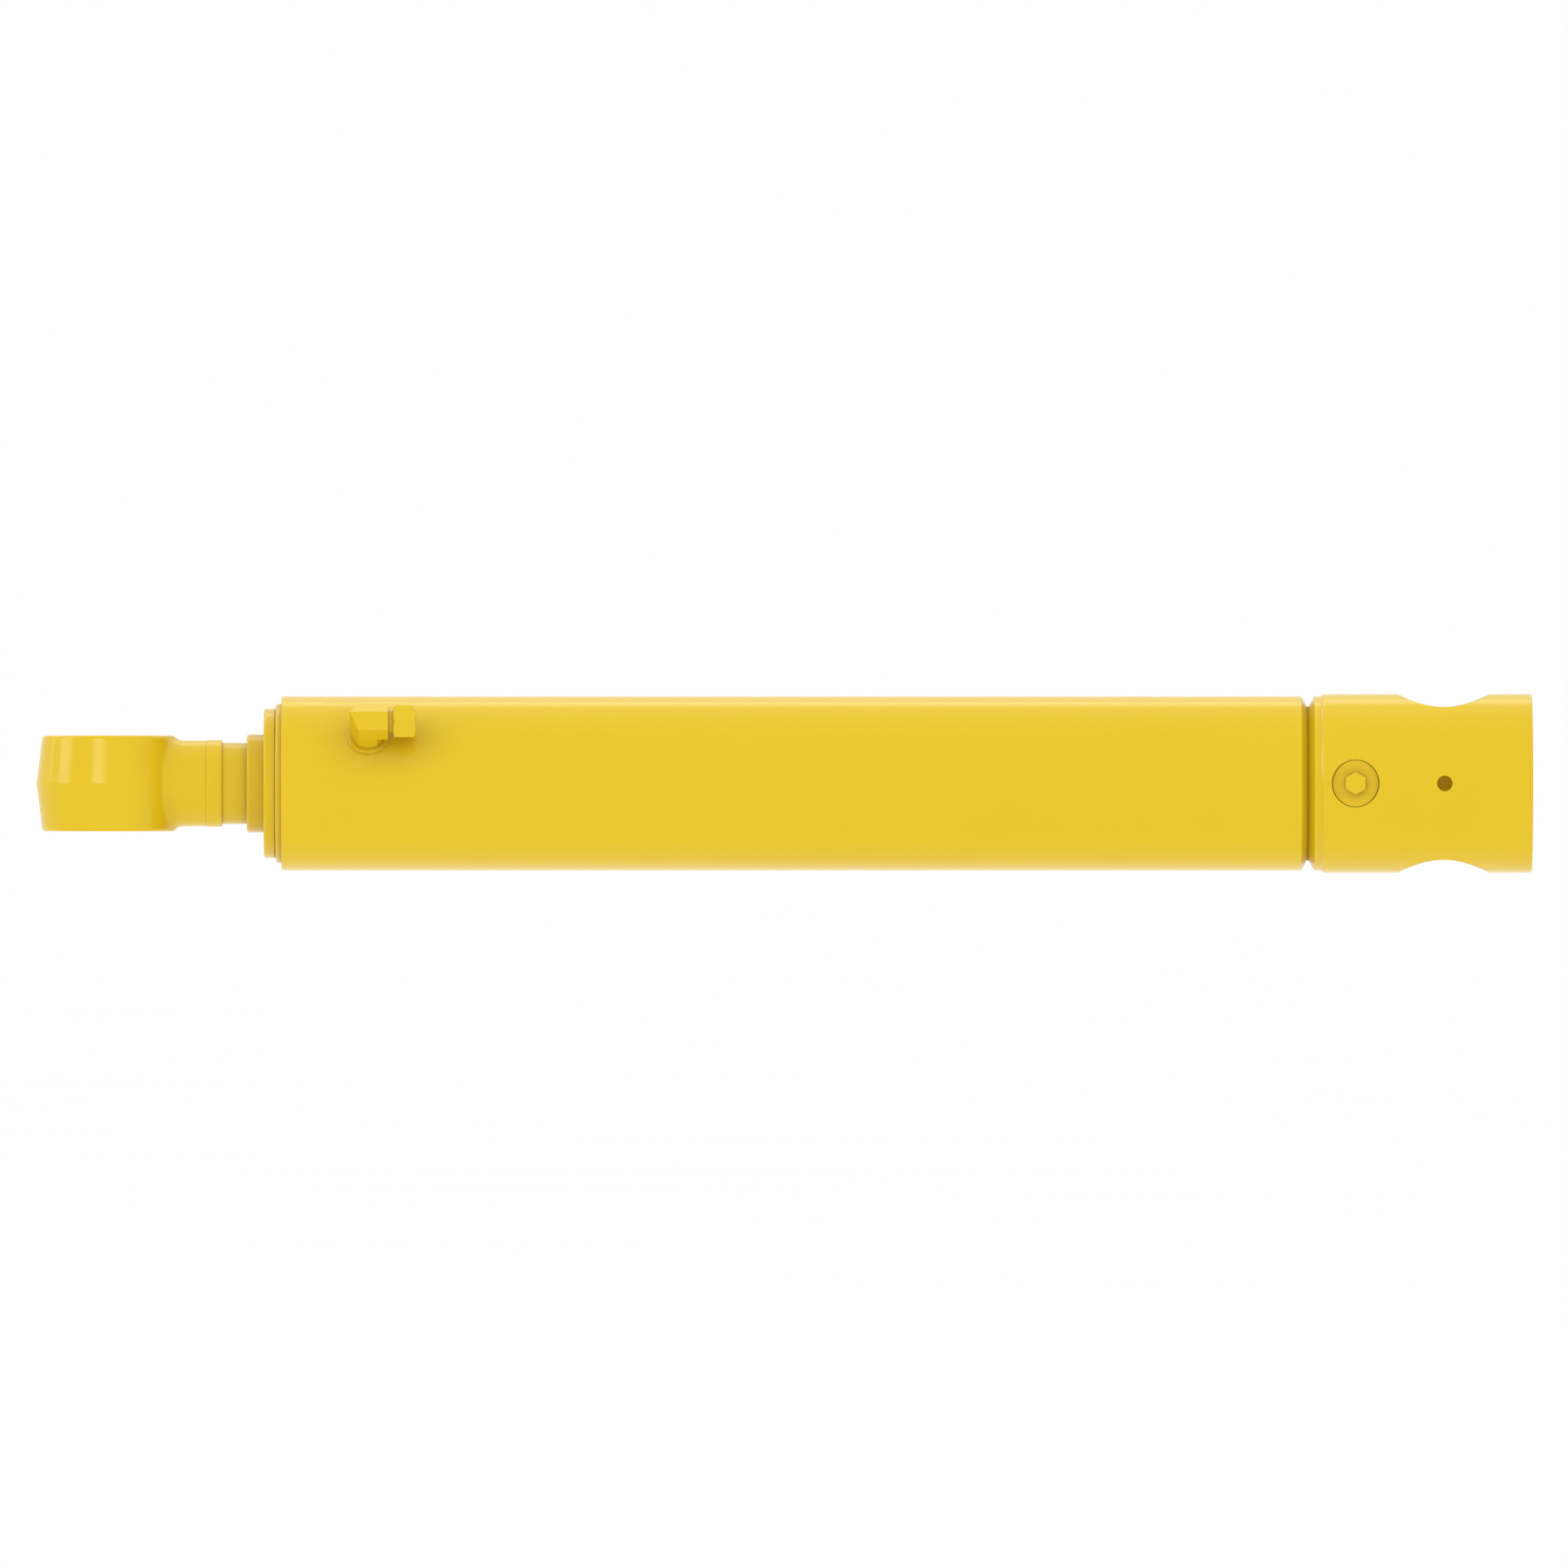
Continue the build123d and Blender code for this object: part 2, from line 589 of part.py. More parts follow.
with BuildPart() as stage1_tube_o_ring:
    o_ring(TUBE_O_RING_X, OUTER_TUBE_BORE_R - TUBE_O_RING, TUBE_O_RING)
stage1_tube_o_ring.part.label = "stage1_tube_o_ring"
export_step(stage1_tube_o_ring.part, "parts/stage1_tube_o_ring.step")

stage_band_r = BARREL_BORE_R - WIDE_BAND_DEPTH
stage_seal_r = BARREL_BORE_R - SEAL_RING - PISTON_SEAL_BED

with BuildPart() as stage1_piston:
    turned(
        (STAGE_PISTON_FRONT_X, STAGE_R + SEAT),
        (TUBE_END_X, STAGE_R + SEAT),
        (TUBE_END_X, PISTON_BORE_R),
        (STAGE_PISTON_X, PISTON_BORE_R),
        (STAGE_PISTON_X, BARREL_BORE_R - CLEAR - LEAD_IN),
        (STAGE_PISTON_X - LEAD_IN, BARREL_BORE_R - CLEAR),
        (STAGE_PISTON_FRONT_X + LEAD_IN, BARREL_BORE_R - CLEAR),
        (STAGE_PISTON_FRONT_X, BARREL_BORE_R - CLEAR - LEAD_IN),
    )
    for start, end in STAGE_BANDS:
        ring(start, end, stage_band_r, BARREL_BORE_R, mode=Mode.SUBTRACT)
    ring(STAGE_SEAL[0], STAGE_SEAL[1], stage_seal_r, BARREL_BORE_R, mode=Mode.SUBTRACT)
    o_ring_groove(STAGE_O_RING_X, STAGE_R, STAGE_R + O_RING, O_RING_GROOVE)
stage1_piston.part.label = "stage1_piston"
export_step(stage1_piston.part, "parts/stage1_piston.step")

with BuildPart() as stage1_piston_seal:
    ring(STAGE_SEAL[0] + PLAY, STAGE_SEAL[1] - PLAY, BARREL_BORE_R - SEAL_RING, BARREL_BORE_R - RUN)
stage1_piston_seal.part.label = "stage1_piston_seal"
export_step(stage1_piston_seal.part, "parts/stage1_piston_seal.step")

with BuildPart() as stage1_piston_energiser:
    o_ring(sum(STAGE_SEAL) / 2, stage_seal_r + SEAT, PISTON_SEAL_BED - 2 * SEAT)
stage1_piston_energiser.part.label = "stage1_piston_energiser"
export_step(stage1_piston_energiser.part, "parts/stage1_piston_energiser.step")

with BuildPart() as stage1_piston_bands:
    for start, end in STAGE_BANDS:
        split_band(start + PLAY, end - PLAY, stage_band_r + SEAT, BARREL_BORE_R - RUN)
stage1_piston_bands.part.label = "stage1_piston_bands"
export_step(stage1_piston_bands.part, "parts/stage1_piston_bands.step")

with BuildPart() as stage1_piston_o_ring:
    o_ring(STAGE_O_RING_X, STAGE_R, O_RING)
stage1_piston_o_ring.part.label = "stage1_piston_o_ring"
export_step(stage1_piston_o_ring.part, "parts/stage1_piston_o_ring.step")

with BuildPart() as stage1_stop_sleeve:
    ring(STOP_X, STAGE_PISTON_FRONT_X, STAGE_R + SEAT, SLEEVE_R)
    cross_holes(OUTER_HOLES_X, OUTER_HOLE_R + 1, SLEEVE_R + 1)
stage1_stop_sleeve.part.label = "stage1_stop_sleeve"
export_step(stage1_stop_sleeve.part, "parts/stage1_stop_sleeve.step")

with BuildPart() as stage1_head:
    head_back_x = FLANGE_X - STOP_GAP
    turned(
        (HEAD_X, NOSE_R + 2 * SEAT),
        (OUTER_TUBE_X, NOSE_R + 2 * SEAT),
        (OUTER_TUBE_X, STAGE_R + SEAT),
        (head_back_x, STAGE_R + SEAT),
        (head_back_x, HEAD_R),
        (HEAD_X, HEAD_R),
        rounds={(HEAD_X, HEAD_R): HEAD_ROUND, (head_back_x, HEAD_R): 0.5},
    )
    spanner_holes(HEAD_X, HEAD_HOLES_OUT, HEAD_HOLE_R, first_angle=0)
stage1_head.part.label = "stage1_head"
export_step(stage1_head.part, "parts/stage1_head.step")

nose_band_r = ROD_R + BAND_DEPTH
tube_spigot_r = STAGE_BORE_R - SEAT

with BuildPart() as stage1_gland:
    turned(
        (NOSE_X, ROD_R + CLEAR),
        (GLAND_END_X, ROD_R + CLEAR),
        (GLAND_END_X, tube_spigot_r - LEAD_IN),
        (GLAND_END_X - LEAD_IN, tube_spigot_r),
        (INNER_TUBE_X, tube_spigot_r),
        (INNER_TUBE_X, OUTER_TUBE_BORE_R - SEAT),
        (OUTER_TUBE_X, OUTER_TUBE_BORE_R - SEAT),
        (OUTER_TUBE_X, NOSE_R),
        (NOSE_X, NOSE_R),
        rounds={(NOSE_X, NOSE_R): HEAD_ROUND},
    )
    ring(NOSE_X, NOSE_X + WIPER_DEPTH, ROD_R, NOSE_WIPER_R, mode=Mode.SUBTRACT)
    ring(NOSE_SEAL[0], NOSE_SEAL[1], ROD_R, NOSE_SEAL_R, mode=Mode.SUBTRACT)
    for start, end in NOSE_BANDS:
        ring(start, end, ROD_R, nose_band_r, mode=Mode.SUBTRACT)
    o_ring_groove(NOSE_O_RING_X, OUTER_TUBE_BORE_R - O_RING, OUTER_TUBE_BORE_R, O_RING_GROOVE)
stage1_gland.part.label = "stage1_gland"
export_step(stage1_gland.part, "parts/stage1_gland.step")

with BuildPart() as stage1_gland_wiper:
    wiper(NOSE_X, ROD_R + RUN, NOSE_WIPER_R - SEAT)
stage1_gland_wiper.part.label = "stage1_gland_wiper"
export_step(stage1_gland_wiper.part, "parts/stage1_gland_wiper.step")

with BuildPart() as stage1_gland_seal:
    u_seal(NOSE_SEAL[0] + PLAY, NOSE_SEAL[1] - PLAY, ROD_R + RUN, NOSE_SEAL_R - SEAT)
stage1_gland_seal.part.label = "stage1_gland_seal"
export_step(stage1_gland_seal.part, "parts/stage1_gland_seal.step")

with BuildPart() as stage1_gland_bands:
    for start, end in NOSE_BANDS:
        split_band(start + PLAY, end - PLAY, ROD_R + RUN, nose_band_r - SEAT)
stage1_gland_bands.part.label = "stage1_gland_bands"
export_step(stage1_gland_bands.part, "parts/stage1_gland_bands.step")

with BuildPart() as stage1_gland_o_ring:
    o_ring(NOSE_O_RING_X, OUTER_TUBE_BORE_R - O_RING, O_RING)
stage1_gland_o_ring.part.label = "stage1_gland_o_ring"
export_step(stage1_gland_o_ring.part, "parts/stage1_gland_o_ring.step")

# ================================================================ rod
nut_seat_x = ROD_PISTON_X - ROD_NUT_RECESS
rod_band_r = STAGE_BORE_R - BAND_DEPTH
rod_seal_r = STAGE_BORE_R - SEAL_RING - ROD_SEAL_BED

with BuildPart() as rod:
    turned(
        (ROD_X, EYE_SPIGOT_R),
        (ROD_X, ROD_R),
        (ROD_PISTON_FRONT_X, ROD_R),
        (ROD_PISTON_FRONT_X, ROD_SPIGOT_R),
        (ROD_SPIGOT_END_X - LEAD_IN, ROD_SPIGOT_R),
        (ROD_SPIGOT_END_X, ROD_SPIGOT_R - LEAD_IN),
        (ROD_SPIGOT_END_X, 0),
        (ROD_X + EYE_SPIGOT + 1, 0),
        (ROD_X + EYE_SPIGOT + 1, EYE_SPIGOT_R),
    )
rod.part.label = "rod"
export_step(rod.part, "parts/rod.step")

with BuildPart() as rod_piston:
    turned(
        (ROD_PISTON_FRONT_X, ROD_SPIGOT_R + SEAT),
        (nut_seat_x, ROD_SPIGOT_R + SEAT),
        (nut_seat_x, ROD_NUT_BORE_R),
        (ROD_PISTON_X, ROD_NUT_BORE_R),
        (ROD_PISTON_X, STAGE_BORE_R - CLEAR - LEAD_IN),
        (ROD_PISTON_X - LEAD_IN, STAGE_BORE_R - CLEAR),
        (ROD_PISTON_FRONT_X + LEAD_IN, STAGE_BORE_R - CLEAR),
        (ROD_PISTON_FRONT_X, STAGE_BORE_R - CLEAR - LEAD_IN),
    )
    for start, end in ROD_BANDS:
        ring(start, end, rod_band_r, STAGE_BORE_R, mode=Mode.SUBTRACT)
    ring(ROD_SEAL[0], ROD_SEAL[1], rod_seal_r, STAGE_BORE_R, mode=Mode.SUBTRACT)
    o_ring_groove(ROD_O_RING_X, ROD_SPIGOT_R, ROD_SPIGOT_R + ROD_O_RING, ROD_O_RING_GROOVE)
rod_piston.part.label = "rod_piston"
export_step(rod_piston.part, "parts/rod_piston.step")

with BuildPart() as rod_piston_seal:
    ring(ROD_SEAL[0] + PLAY, ROD_SEAL[1] - PLAY, STAGE_BORE_R - SEAL_RING, STAGE_BORE_R - RUN)
rod_piston_seal.part.label = "rod_piston_seal"
export_step(rod_piston_seal.part, "parts/rod_piston_seal.step")

with BuildPart() as rod_piston_energiser:
    o_ring(sum(ROD_SEAL) / 2, rod_seal_r + SEAT, ROD_SEAL_BED - 2 * SEAT)
rod_piston_energiser.part.label = "rod_piston_energiser"
export_step(rod_piston_energiser.part, "parts/rod_piston_energiser.step")

with BuildPart() as rod_piston_bands:
    for start, end in ROD_BANDS:
        split_band(start + PLAY, end - PLAY, rod_band_r + SEAT, STAGE_BORE_R - RUN)
rod_piston_bands.part.label = "rod_piston_bands"
export_step(rod_piston_bands.part, "parts/rod_piston_bands.step")

with BuildPart() as rod_piston_o_ring:
    o_ring(ROD_O_RING_X, ROD_SPIGOT_R, ROD_O_RING)
rod_piston_o_ring.part.label = "rod_piston_o_ring"
export_step(rod_piston_o_ring.part, "parts/rod_piston_o_ring.step")

with BuildPart() as rod_piston_nut:
    with BuildSketch(Plane.YZ.offset(nut_seat_x)):
        RegularPolygon(ROD_NUT_FLATS / 2, 6, major_radius=False)
        Circle(ROD_SPIGOT_R + SEAT, mode=Mode.SUBTRACT)
    extrude(amount=ROD_NUT)
rod_piston_nut.part.label = "rod_piston_nut"
export_step(rod_piston_nut.part, "parts/rod_piston_nut.step")

with BuildPart() as rod_stop_sleeve:
    ring(STOP_X, ROD_PISTON_FRONT_X, ROD_R + SEAT, ROD_SLEEVE_R)
rod_stop_sleeve.part.label = "rod_stop_sleeve"
export_step(rod_stop_sleeve.part, "parts/rod_stop_sleeve.step")

# ================================================================ rod eye
with BuildPart() as eye_weld_band:
    turned(
        (NECK_X, EYE_SPIGOT_R),
        (ROD_X, EYE_SPIGOT_R),
        (ROD_X, BAND_R),
        (NECK_X, BAND_R),
        rounds={(ROD_X, BAND_R): LEAD_IN, (NECK_X, BAND_R): LEAD_IN / 2},
    )
eye_weld_band.part.label = "eye_weld_band"
export_step(eye_weld_band.part, "parts/eye_weld_band.step")

with BuildPart() as rod_eye:
    # drafted forging: its upper half is made from the parting plane up, and then mirrored
    with BuildSketch():
        with Locations((EYE_X, 0)):
            Circle(EYE_R)
    extrude(amount=EYE_R, taper=DRAFT)
    with BuildSketch(Plane.YZ.offset(EYE_X)):
        Circle(NECK_R)
    extrude(amount=NECK_X - EYE_X)
    split(bisect_by=Plane.XY, keep=Keep.TOP)
    fillet(rod_eye.edges().filter_by(GeomType.BSPLINE), radius=NECK_BLEND)
    # the blend is made before the top face is cut, because it runs out through that face
    split(bisect_by=Plane.XY.offset(EYE_HALF), keep=Keep.BOTTOM)
    fillet(rod_eye.faces().sort_by(Axis.Z)[-1].edges(), radius=EYE_EDGE)
    mirror(about=Plane.XY)
    with BuildSketch(Plane.XY.offset(-EYE_HALF)):
        with Locations((EYE_X, 0)):
            Circle(BUSH_R)
    extrude(amount=2 * EYE_HALF, mode=Mode.SUBTRACT)
    disc(NECK_X, ROD_X + EYE_SPIGOT, EYE_SPIGOT_R)
rod_eye.part.label = "rod_eye"
export_step(rod_eye.part, "parts/rod_eye.step")

with BuildPart() as rod_eye_bush:
    with BuildSketch(Plane.XY.offset(-EYE_HALF)):
        with Locations((EYE_X, 0)):
            Circle(BUSH_R)
            Circle(EYE_BORE_R, mode=Mode.SUBTRACT)
    extrude(amount=2 * EYE_HALF)
    chamfer(rod_eye_bush.edges().filter_by(GeomType.CIRCLE).group_by(SortBy.RADIUS)[0], length=BUSH_CHAMFER)
rod_eye_bush.part.label = "rod_eye_bush"
export_step(rod_eye_bush.part, "parts/rod_eye_bush.step")
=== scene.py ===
"""Looks of the telescopic hydraulic cylinder: paint, bare metal, seals, threads, light and camera."""

import json
import math

import bmesh
import bpy
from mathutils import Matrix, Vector

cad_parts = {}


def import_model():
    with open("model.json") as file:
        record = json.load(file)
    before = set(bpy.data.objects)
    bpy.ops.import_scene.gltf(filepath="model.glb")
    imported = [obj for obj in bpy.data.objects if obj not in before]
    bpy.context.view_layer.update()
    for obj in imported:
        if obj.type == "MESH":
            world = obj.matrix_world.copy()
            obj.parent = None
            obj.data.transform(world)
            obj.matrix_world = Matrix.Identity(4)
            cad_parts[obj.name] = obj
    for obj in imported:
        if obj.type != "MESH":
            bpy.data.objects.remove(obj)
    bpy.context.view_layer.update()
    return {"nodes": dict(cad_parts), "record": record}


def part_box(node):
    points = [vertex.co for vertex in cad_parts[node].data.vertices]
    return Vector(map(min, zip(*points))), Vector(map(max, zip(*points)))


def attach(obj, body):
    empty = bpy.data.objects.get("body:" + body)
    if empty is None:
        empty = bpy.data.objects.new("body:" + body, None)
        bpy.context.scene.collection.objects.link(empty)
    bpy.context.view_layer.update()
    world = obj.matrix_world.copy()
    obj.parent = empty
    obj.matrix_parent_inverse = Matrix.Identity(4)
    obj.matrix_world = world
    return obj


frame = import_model()
nodes = frame["nodes"]
mounts = {mount["name"]: mount for mount in frame["record"]["mounts"]}

MM = 0.001
X_AXIS = (1, 0, 0)
ON_AXIS = (0, 0, 0)


# ------------------------------------------------------------------ node graphs
class Graph:
    """A material with a Principled shader, and short ways to add nodes to it.

    place is a point's position at rest, in metres, and it moves with the body.
    """

    def __init__(self, name, sheen=None):
        self.material = bpy.data.materials.new(name)
        self.material.use_nodes = True
        self.tree = self.material.node_tree
        self.tree.nodes.clear()
        output = self.add("ShaderNodeOutputMaterial")
        self.shader = self.add("ShaderNodeBsdfPrincipled", sheen)
        self.tree.links.new(self.shader.outputs["BSDF"], output.inputs["Surface"])
        self.place = self.add("ShaderNodeTexCoord").outputs["Object"]

    def add(self, kind, inputs=None, **settings):
        node = self.tree.nodes.new(kind)
        for key, value in settings.items():
            setattr(node, key, value)
        for key, value in (inputs or {}).items():
            self.feed(node.inputs[key], value)
        return node

    def feed(self, socket, value):
        if isinstance(value, bpy.types.NodeSocket):
            self.tree.links.new(value, socket)
        else:
            socket.default_value = value

    def math(self, operation, a, b=0.0):
        return self.add("ShaderNodeMath", {0: a, 1: b}, operation=operation).outputs[0]

    def step(self, value, low, high, out_low=0.0, out_high=1.0):
        """A smooth change from out_low to out_high as value goes from low to high."""
        inputs = {"Value": value, "From Min": low, "From Max": high, "To Min": out_low, "To Max": out_high}
        return self.add("ShaderNodeMapRange", inputs, interpolation_type="SMOOTHSTEP").outputs["Result"]

    def noise(self, scale, detail=3.0, stretch=(1, 1, 1), seed=0.0):
        """Fractal noise from 0 to 1. scale is in features per metre."""
        mapping = {"Vector": self.place, "Scale": stretch, "Location": (seed, seed * 0.7, -seed)}
        vector = self.add("ShaderNodeMapping", mapping).outputs["Vector"]
        inputs = {"Vector": vector, "Scale": scale, "Detail": detail}
        return self.add("ShaderNodeTexNoise", inputs).outputs["Fac"]

    def mix(self, factor, a, b):
        node = self.add("ShaderNodeMix", data_type="RGBA")
        for socket, value in ((0, factor), (6, a), (7, b)):
            self.feed(node.inputs[socket], value)
        return node.outputs[2]

    def blend(self, factor, a, b):
        """Mixes two numbers."""
        node = self.add("ShaderNodeMix", data_type="FLOAT")
        for socket, value in ((0, factor), (2, a), (3, b)):
            self.feed(node.inputs[socket], value)
        return node.outputs[0]

    def blend_normal(self, factor, a, b):
        node = self.add("ShaderNodeMix", data_type="VECTOR")
        for socket, value in ((0, factor), (4, a), (5, b)):
            self.feed(node.inputs[socket], value)
        return node.outputs[1]

    def distance(self, point, axis):
        """Distance from the line through point along axis."""
        offset = self.add("ShaderNodeVectorMath", {0: self.place, 1: point}, operation="SUBTRACT").outputs[0]
        across = self.add("ShaderNodeVectorMath", {0: offset, 1: axis}, operation="CROSS_PRODUCT").outputs[0]
        return self.add("ShaderNodeVectorMath", {0: across}, operation="LENGTH").outputs["Value"]

    def along(self):
        return self.add("ShaderNodeSeparateXYZ", {0: self.place}).outputs[0]

    def rounded(self, radius):
        """The surface normal, as if the edges were rounded."""
        return self.add("ShaderNodeBevel", {"Radius": radius}, samples=6).outputs["Normal"]

    def edges(self, radius):
        """1 on sharp edges, falling to 0 at radius from them."""
        true = self.add("ShaderNodeNewGeometry").outputs["Normal"]
        facing = self.add("ShaderNodeVectorMath", {0: self.rounded(radius), 1: true}, operation="DOT_PRODUCT")
        return self.step(facing.outputs["Value"], 0.999, 0.90)

    def sheltered(self, distance, low, high):
        """1 where the surroundings within distance hide much of the sky, and 0 in the open."""
        open_sky = self.add("ShaderNodeAmbientOcclusion", {"Distance": distance}, samples=8).outputs["AO"]
        return self.step(open_sky, high, low)

    def bump(self, height, depth, normal):
        inputs = {"Height": height, "Distance": depth, "Strength": 1.0, "Normal": normal}
        return self.add("ShaderNodeBump", inputs).outputs["Normal"]

    def finish(self, look):
        """Connects a look: its colour, roughness and normal, and how metallic it is."""
        for key, value in zip(("Base Color", "Roughness", "Normal", "Metallic"), look):
            self.feed(self.shader.inputs[key], value)
        return self.material


# ------------------------------------------------------------------ looks
SHADE_REACH = 120 * MM      # surroundings within which the paint is given painted shade
SEAM_DIRT_AND_SHADE_REACH = 2.5 * MM         # surroundings within which seams get dirt and painted shade
WORN_EDGE = 1.0 * MM
ORANGE_PEEL = 0.003 * MM
PAINT_ROUNDING = 0.4 * MM     # how far the paint softens an edge
METAL_ROUNDING = 0.3 * MM
SPRAY_WANDER = 1.4 * MM       # how unevenly a sprayed edge runs
DIRT_ROUGHNESS = 0.7
PAINT_SHEEN = {"IOR": 1.35}
DULL_SHEEN = {"IOR": 1.35, "Specular IOR Level": 0.1}
YELLOW = (0.740, 0.508, 0.0070, 1)
YELLOW_WARM = (0.730, 0.498, 0.0060, 1)
YELLOW_WORN = (0.790, 0.580, 0.0500, 1)
# painted shade: a darker yellow for sheltered places, its blue raised as a painted reflection
YELLOW_PAINTED_SHADE = (0.655, 0.440, 0.0100, 1)
# the brown of dirt, which also stands for painted shade in seams
GRIME_AND_SHADE = (0.280, 0.180, 0.0080, 1)
STEEL = (0.420, 0.410, 0.390, 1)
STEEL_DARK = (0.270, 0.255, 0.235, 1)
CHROME = (0.680, 0.690, 0.700, 1)
CHROME_DIM = (0.600, 0.605, 0.610, 1)
RUST_FILM = (0.120, 0.070, 0.035, 1)


def paint_colour(g):
    """Yellow that drifts slightly, is darkened with painted shade where it is sheltered, and is rubbed
    lighter on edges.
    """
    drift = g.step(g.noise(scale=9, detail=4), 0.35, 0.65)
    colour = g.mix(drift, YELLOW, YELLOW_WARM)
    # painted shade: the yellow turns darker where the surroundings hide much of the sky
    colour = g.mix(g.sheltered(SHADE_REACH, 0.80, 0.98), colour, YELLOW_PAINTED_SHADE)
    patches = g.step(g.noise(scale=160, detail=4, seed=3), 0.52, 0.70, 0.0, 0.4)
    return g.mix(g.math("MULTIPLY", g.edges(WORN_EDGE), patches), colour, YELLOW_WORN)


def seam_dirt_and_shade(g, least):
    """How much dirt and painted shade lie on the paint. They gather in patches in narrow seams, where shade
    falls.
    """
    patches = g.step(g.noise(scale=70, detail=5, seed=7), 0.3, 0.7, 0.2, 0.7)
    dirt_and_shade = g.math("MULTIPLY", g.sheltered(SEAM_DIRT_AND_SHADE_REACH, 0.2, 0.9), patches)
    return g.math("MAXIMUM", dirt_and_shade, least)


def paint_look(g, skin=0.0, grime_and_shade=0.0):
    """Sprayed semi-gloss paint. skin is the relief of what is under it, and the third argument the least dirt
    and painted shade.
    """
    colour = paint_colour(g)
    # dirt and painted shade: brown mixed into the colour in narrow seams
    dirt_and_shade = seam_dirt_and_shade(g, grime_and_shade)
    colour = g.mix(dirt_and_shade, colour, GRIME_AND_SHADE)
    gloss = g.step(g.noise(scale=40, detail=3, seed=5), 0.3, 0.7, 0.17, 0.22)
    rough = g.blend(dirt_and_shade, gloss, DIRT_ROUGHNESS)
    normal = g.bump(g.noise(scale=300, detail=2, seed=1), ORANGE_PEEL, g.rounded(PAINT_ROUNDING))
    if skin:
        normal = g.bump(g.noise(scale=150, detail=5, seed=2), skin, normal)
    return colour, rough, normal, 0.0


def turned_look(g):
    """Lathe-turned steel, its fine tool marks running round the cylinder."""
    colour = g.mix(g.noise(scale=30, detail=4, seed=11), STEEL, STEEL_DARK)
    colour = g.mix(g.step(g.noise(scale=120, detail=5, seed=12), 0.62, 0.8, 0.0, 0.6), colour, RUST_FILM)
    marks = g.noise(scale=900, detail=2, stretch=(1, 0.02, 0.02), seed=13)
    rough = g.blend(marks, 0.26, 0.42)
    return colour, rough, g.bump(marks, 0.02 * MM, g.rounded(METAL_ROUNDING)), 1.0


def chrome_look(g):
    """Hard chrome with its polishing marks, and a thin film of oil in patches."""
    colour = g.mix(g.noise(scale=14, detail=4, seed=21), CHROME, CHROME_DIM)
    film = g.step(g.noise(scale=22, detail=4, stretch=(0.35, 1, 1), seed=22), 0.45, 0.7)
    marks = g.noise(scale=1500, detail=2, stretch=(1, 0.015, 0.015), seed=23)
    rough = g.blend(film, 0.08, 0.15)
    rough = g.math("ADD", rough, g.math("MULTIPLY", marks, 0.05))
    return colour, rough, g.bump(marks, 0.004 * MM, g.rounded(METAL_ROUNDING)), 1.0


def covered(name, under, cover):
    """Paint over another look, where cover(g) is 1."""
    g = Graph(name, PAINT_SHEEN)
    mask = cover(g)
    top, bottom = paint_look(g), under(g)
    return g.finish((
        g.mix(mask, bottom[0], top[0]),
        g.blend(mask, bottom[1], top[1]),
        g.blend_normal(mask, bottom[2], top[2]),
        g.math("SUBTRACT", 1.0, mask),
    ))


def ragged(g, value, limit, wander=SPRAY_WANDER):
    """1 where value is over limit, with the uneven edge that spraying leaves."""
    shift = g.math("MULTIPLY", g.math("SUBTRACT", g.noise(scale=260, detail=4, seed=31), 0.5), wander)
    return g.step(g.math("ADD", value, shift), limit - 0.1 * wander, limit + 0.1 * wander)


def painted(name, skin=0.0, grime_and_shade=0.0, sheen=PAINT_SHEEN):
    """Paint all over."""
    g = Graph(name, sheen)
    return g.finish(paint_look(g, skin, grime_and_shade))


def bare(name, look):
    """Metal with nothing over it."""
    g = Graph(name)
    return g.finish(look(g))


def moulded(name, colour, worn, rough_low, rough_high):
    """Rubber or plastic with a faint mottle and a fine skin."""
    g = Graph(name)
    tint = g.mix(g.step(g.noise(scale=90, detail=4, seed=41), 0.35, 0.7), colour, worn)
    tint = g.mix(g.math("MULTIPLY", g.edges(0.4 * MM), 0.5), tint, worn)
    rough = g.step(g.noise(scale=200, detail=3, seed=42), 0.3, 0.7, rough_low, rough_high)
    normal = g.bump(g.noise(scale=1200, detail=2, seed=43), 0.006 * MM, g.rounded(0.15 * MM))
    return g.finish((tint, rough, normal, 0.0))


def dress(names, material):
    """Gives CAD nodes a material, and leaves their meshes alone."""
    for name in names:
        mesh = nodes[name].data
        mesh.materials.clear()
        mesh.materials.append(material)


# ------------------------------------------------------------------ the CAD nodes' materials
port = mounts["extend_port"]
outlet = mounts["retract_port"]
head_back_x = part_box("stage1_head")[1][0]
head_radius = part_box("stage1_head")[1][2]
nose_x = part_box("stage1_gland")[0][0]
FITTING_GAP = 5 * MM          # of the elbow's neck that shows before the nut
FACE_PAINT = 1.5 * MM         # how far paint creeps onto the faces between two rings
CHROME_START = 0.8 * MM       # how far into the nose the rod's paint goes
FINE_EDGE = 0.2 * MM          # how unevenly the paint ends on small parts
BORE_EDGE = 0.4 * MM          # and at the barrel's mouth
# radii inside which the paint didn't reach, about each part's own axis
BARE_TAIL_R = 9.5 * MM
BARE_NUT_R = 10.8 * MM
BARE_PORT_R = 16.2 * MM
BARE_WASHER_R = 13.0 * MM
BARE_BARREL_R = 65.4 * MM
BARE_NOSE_R = 40.0 * MM


def outside(g, limit, wander=SPRAY_WANDER):
    """1 where a point is further than limit from the cylinder's axis."""
    return ragged(g, g.distance(ON_AXIS, X_AXIS), limit, wander)


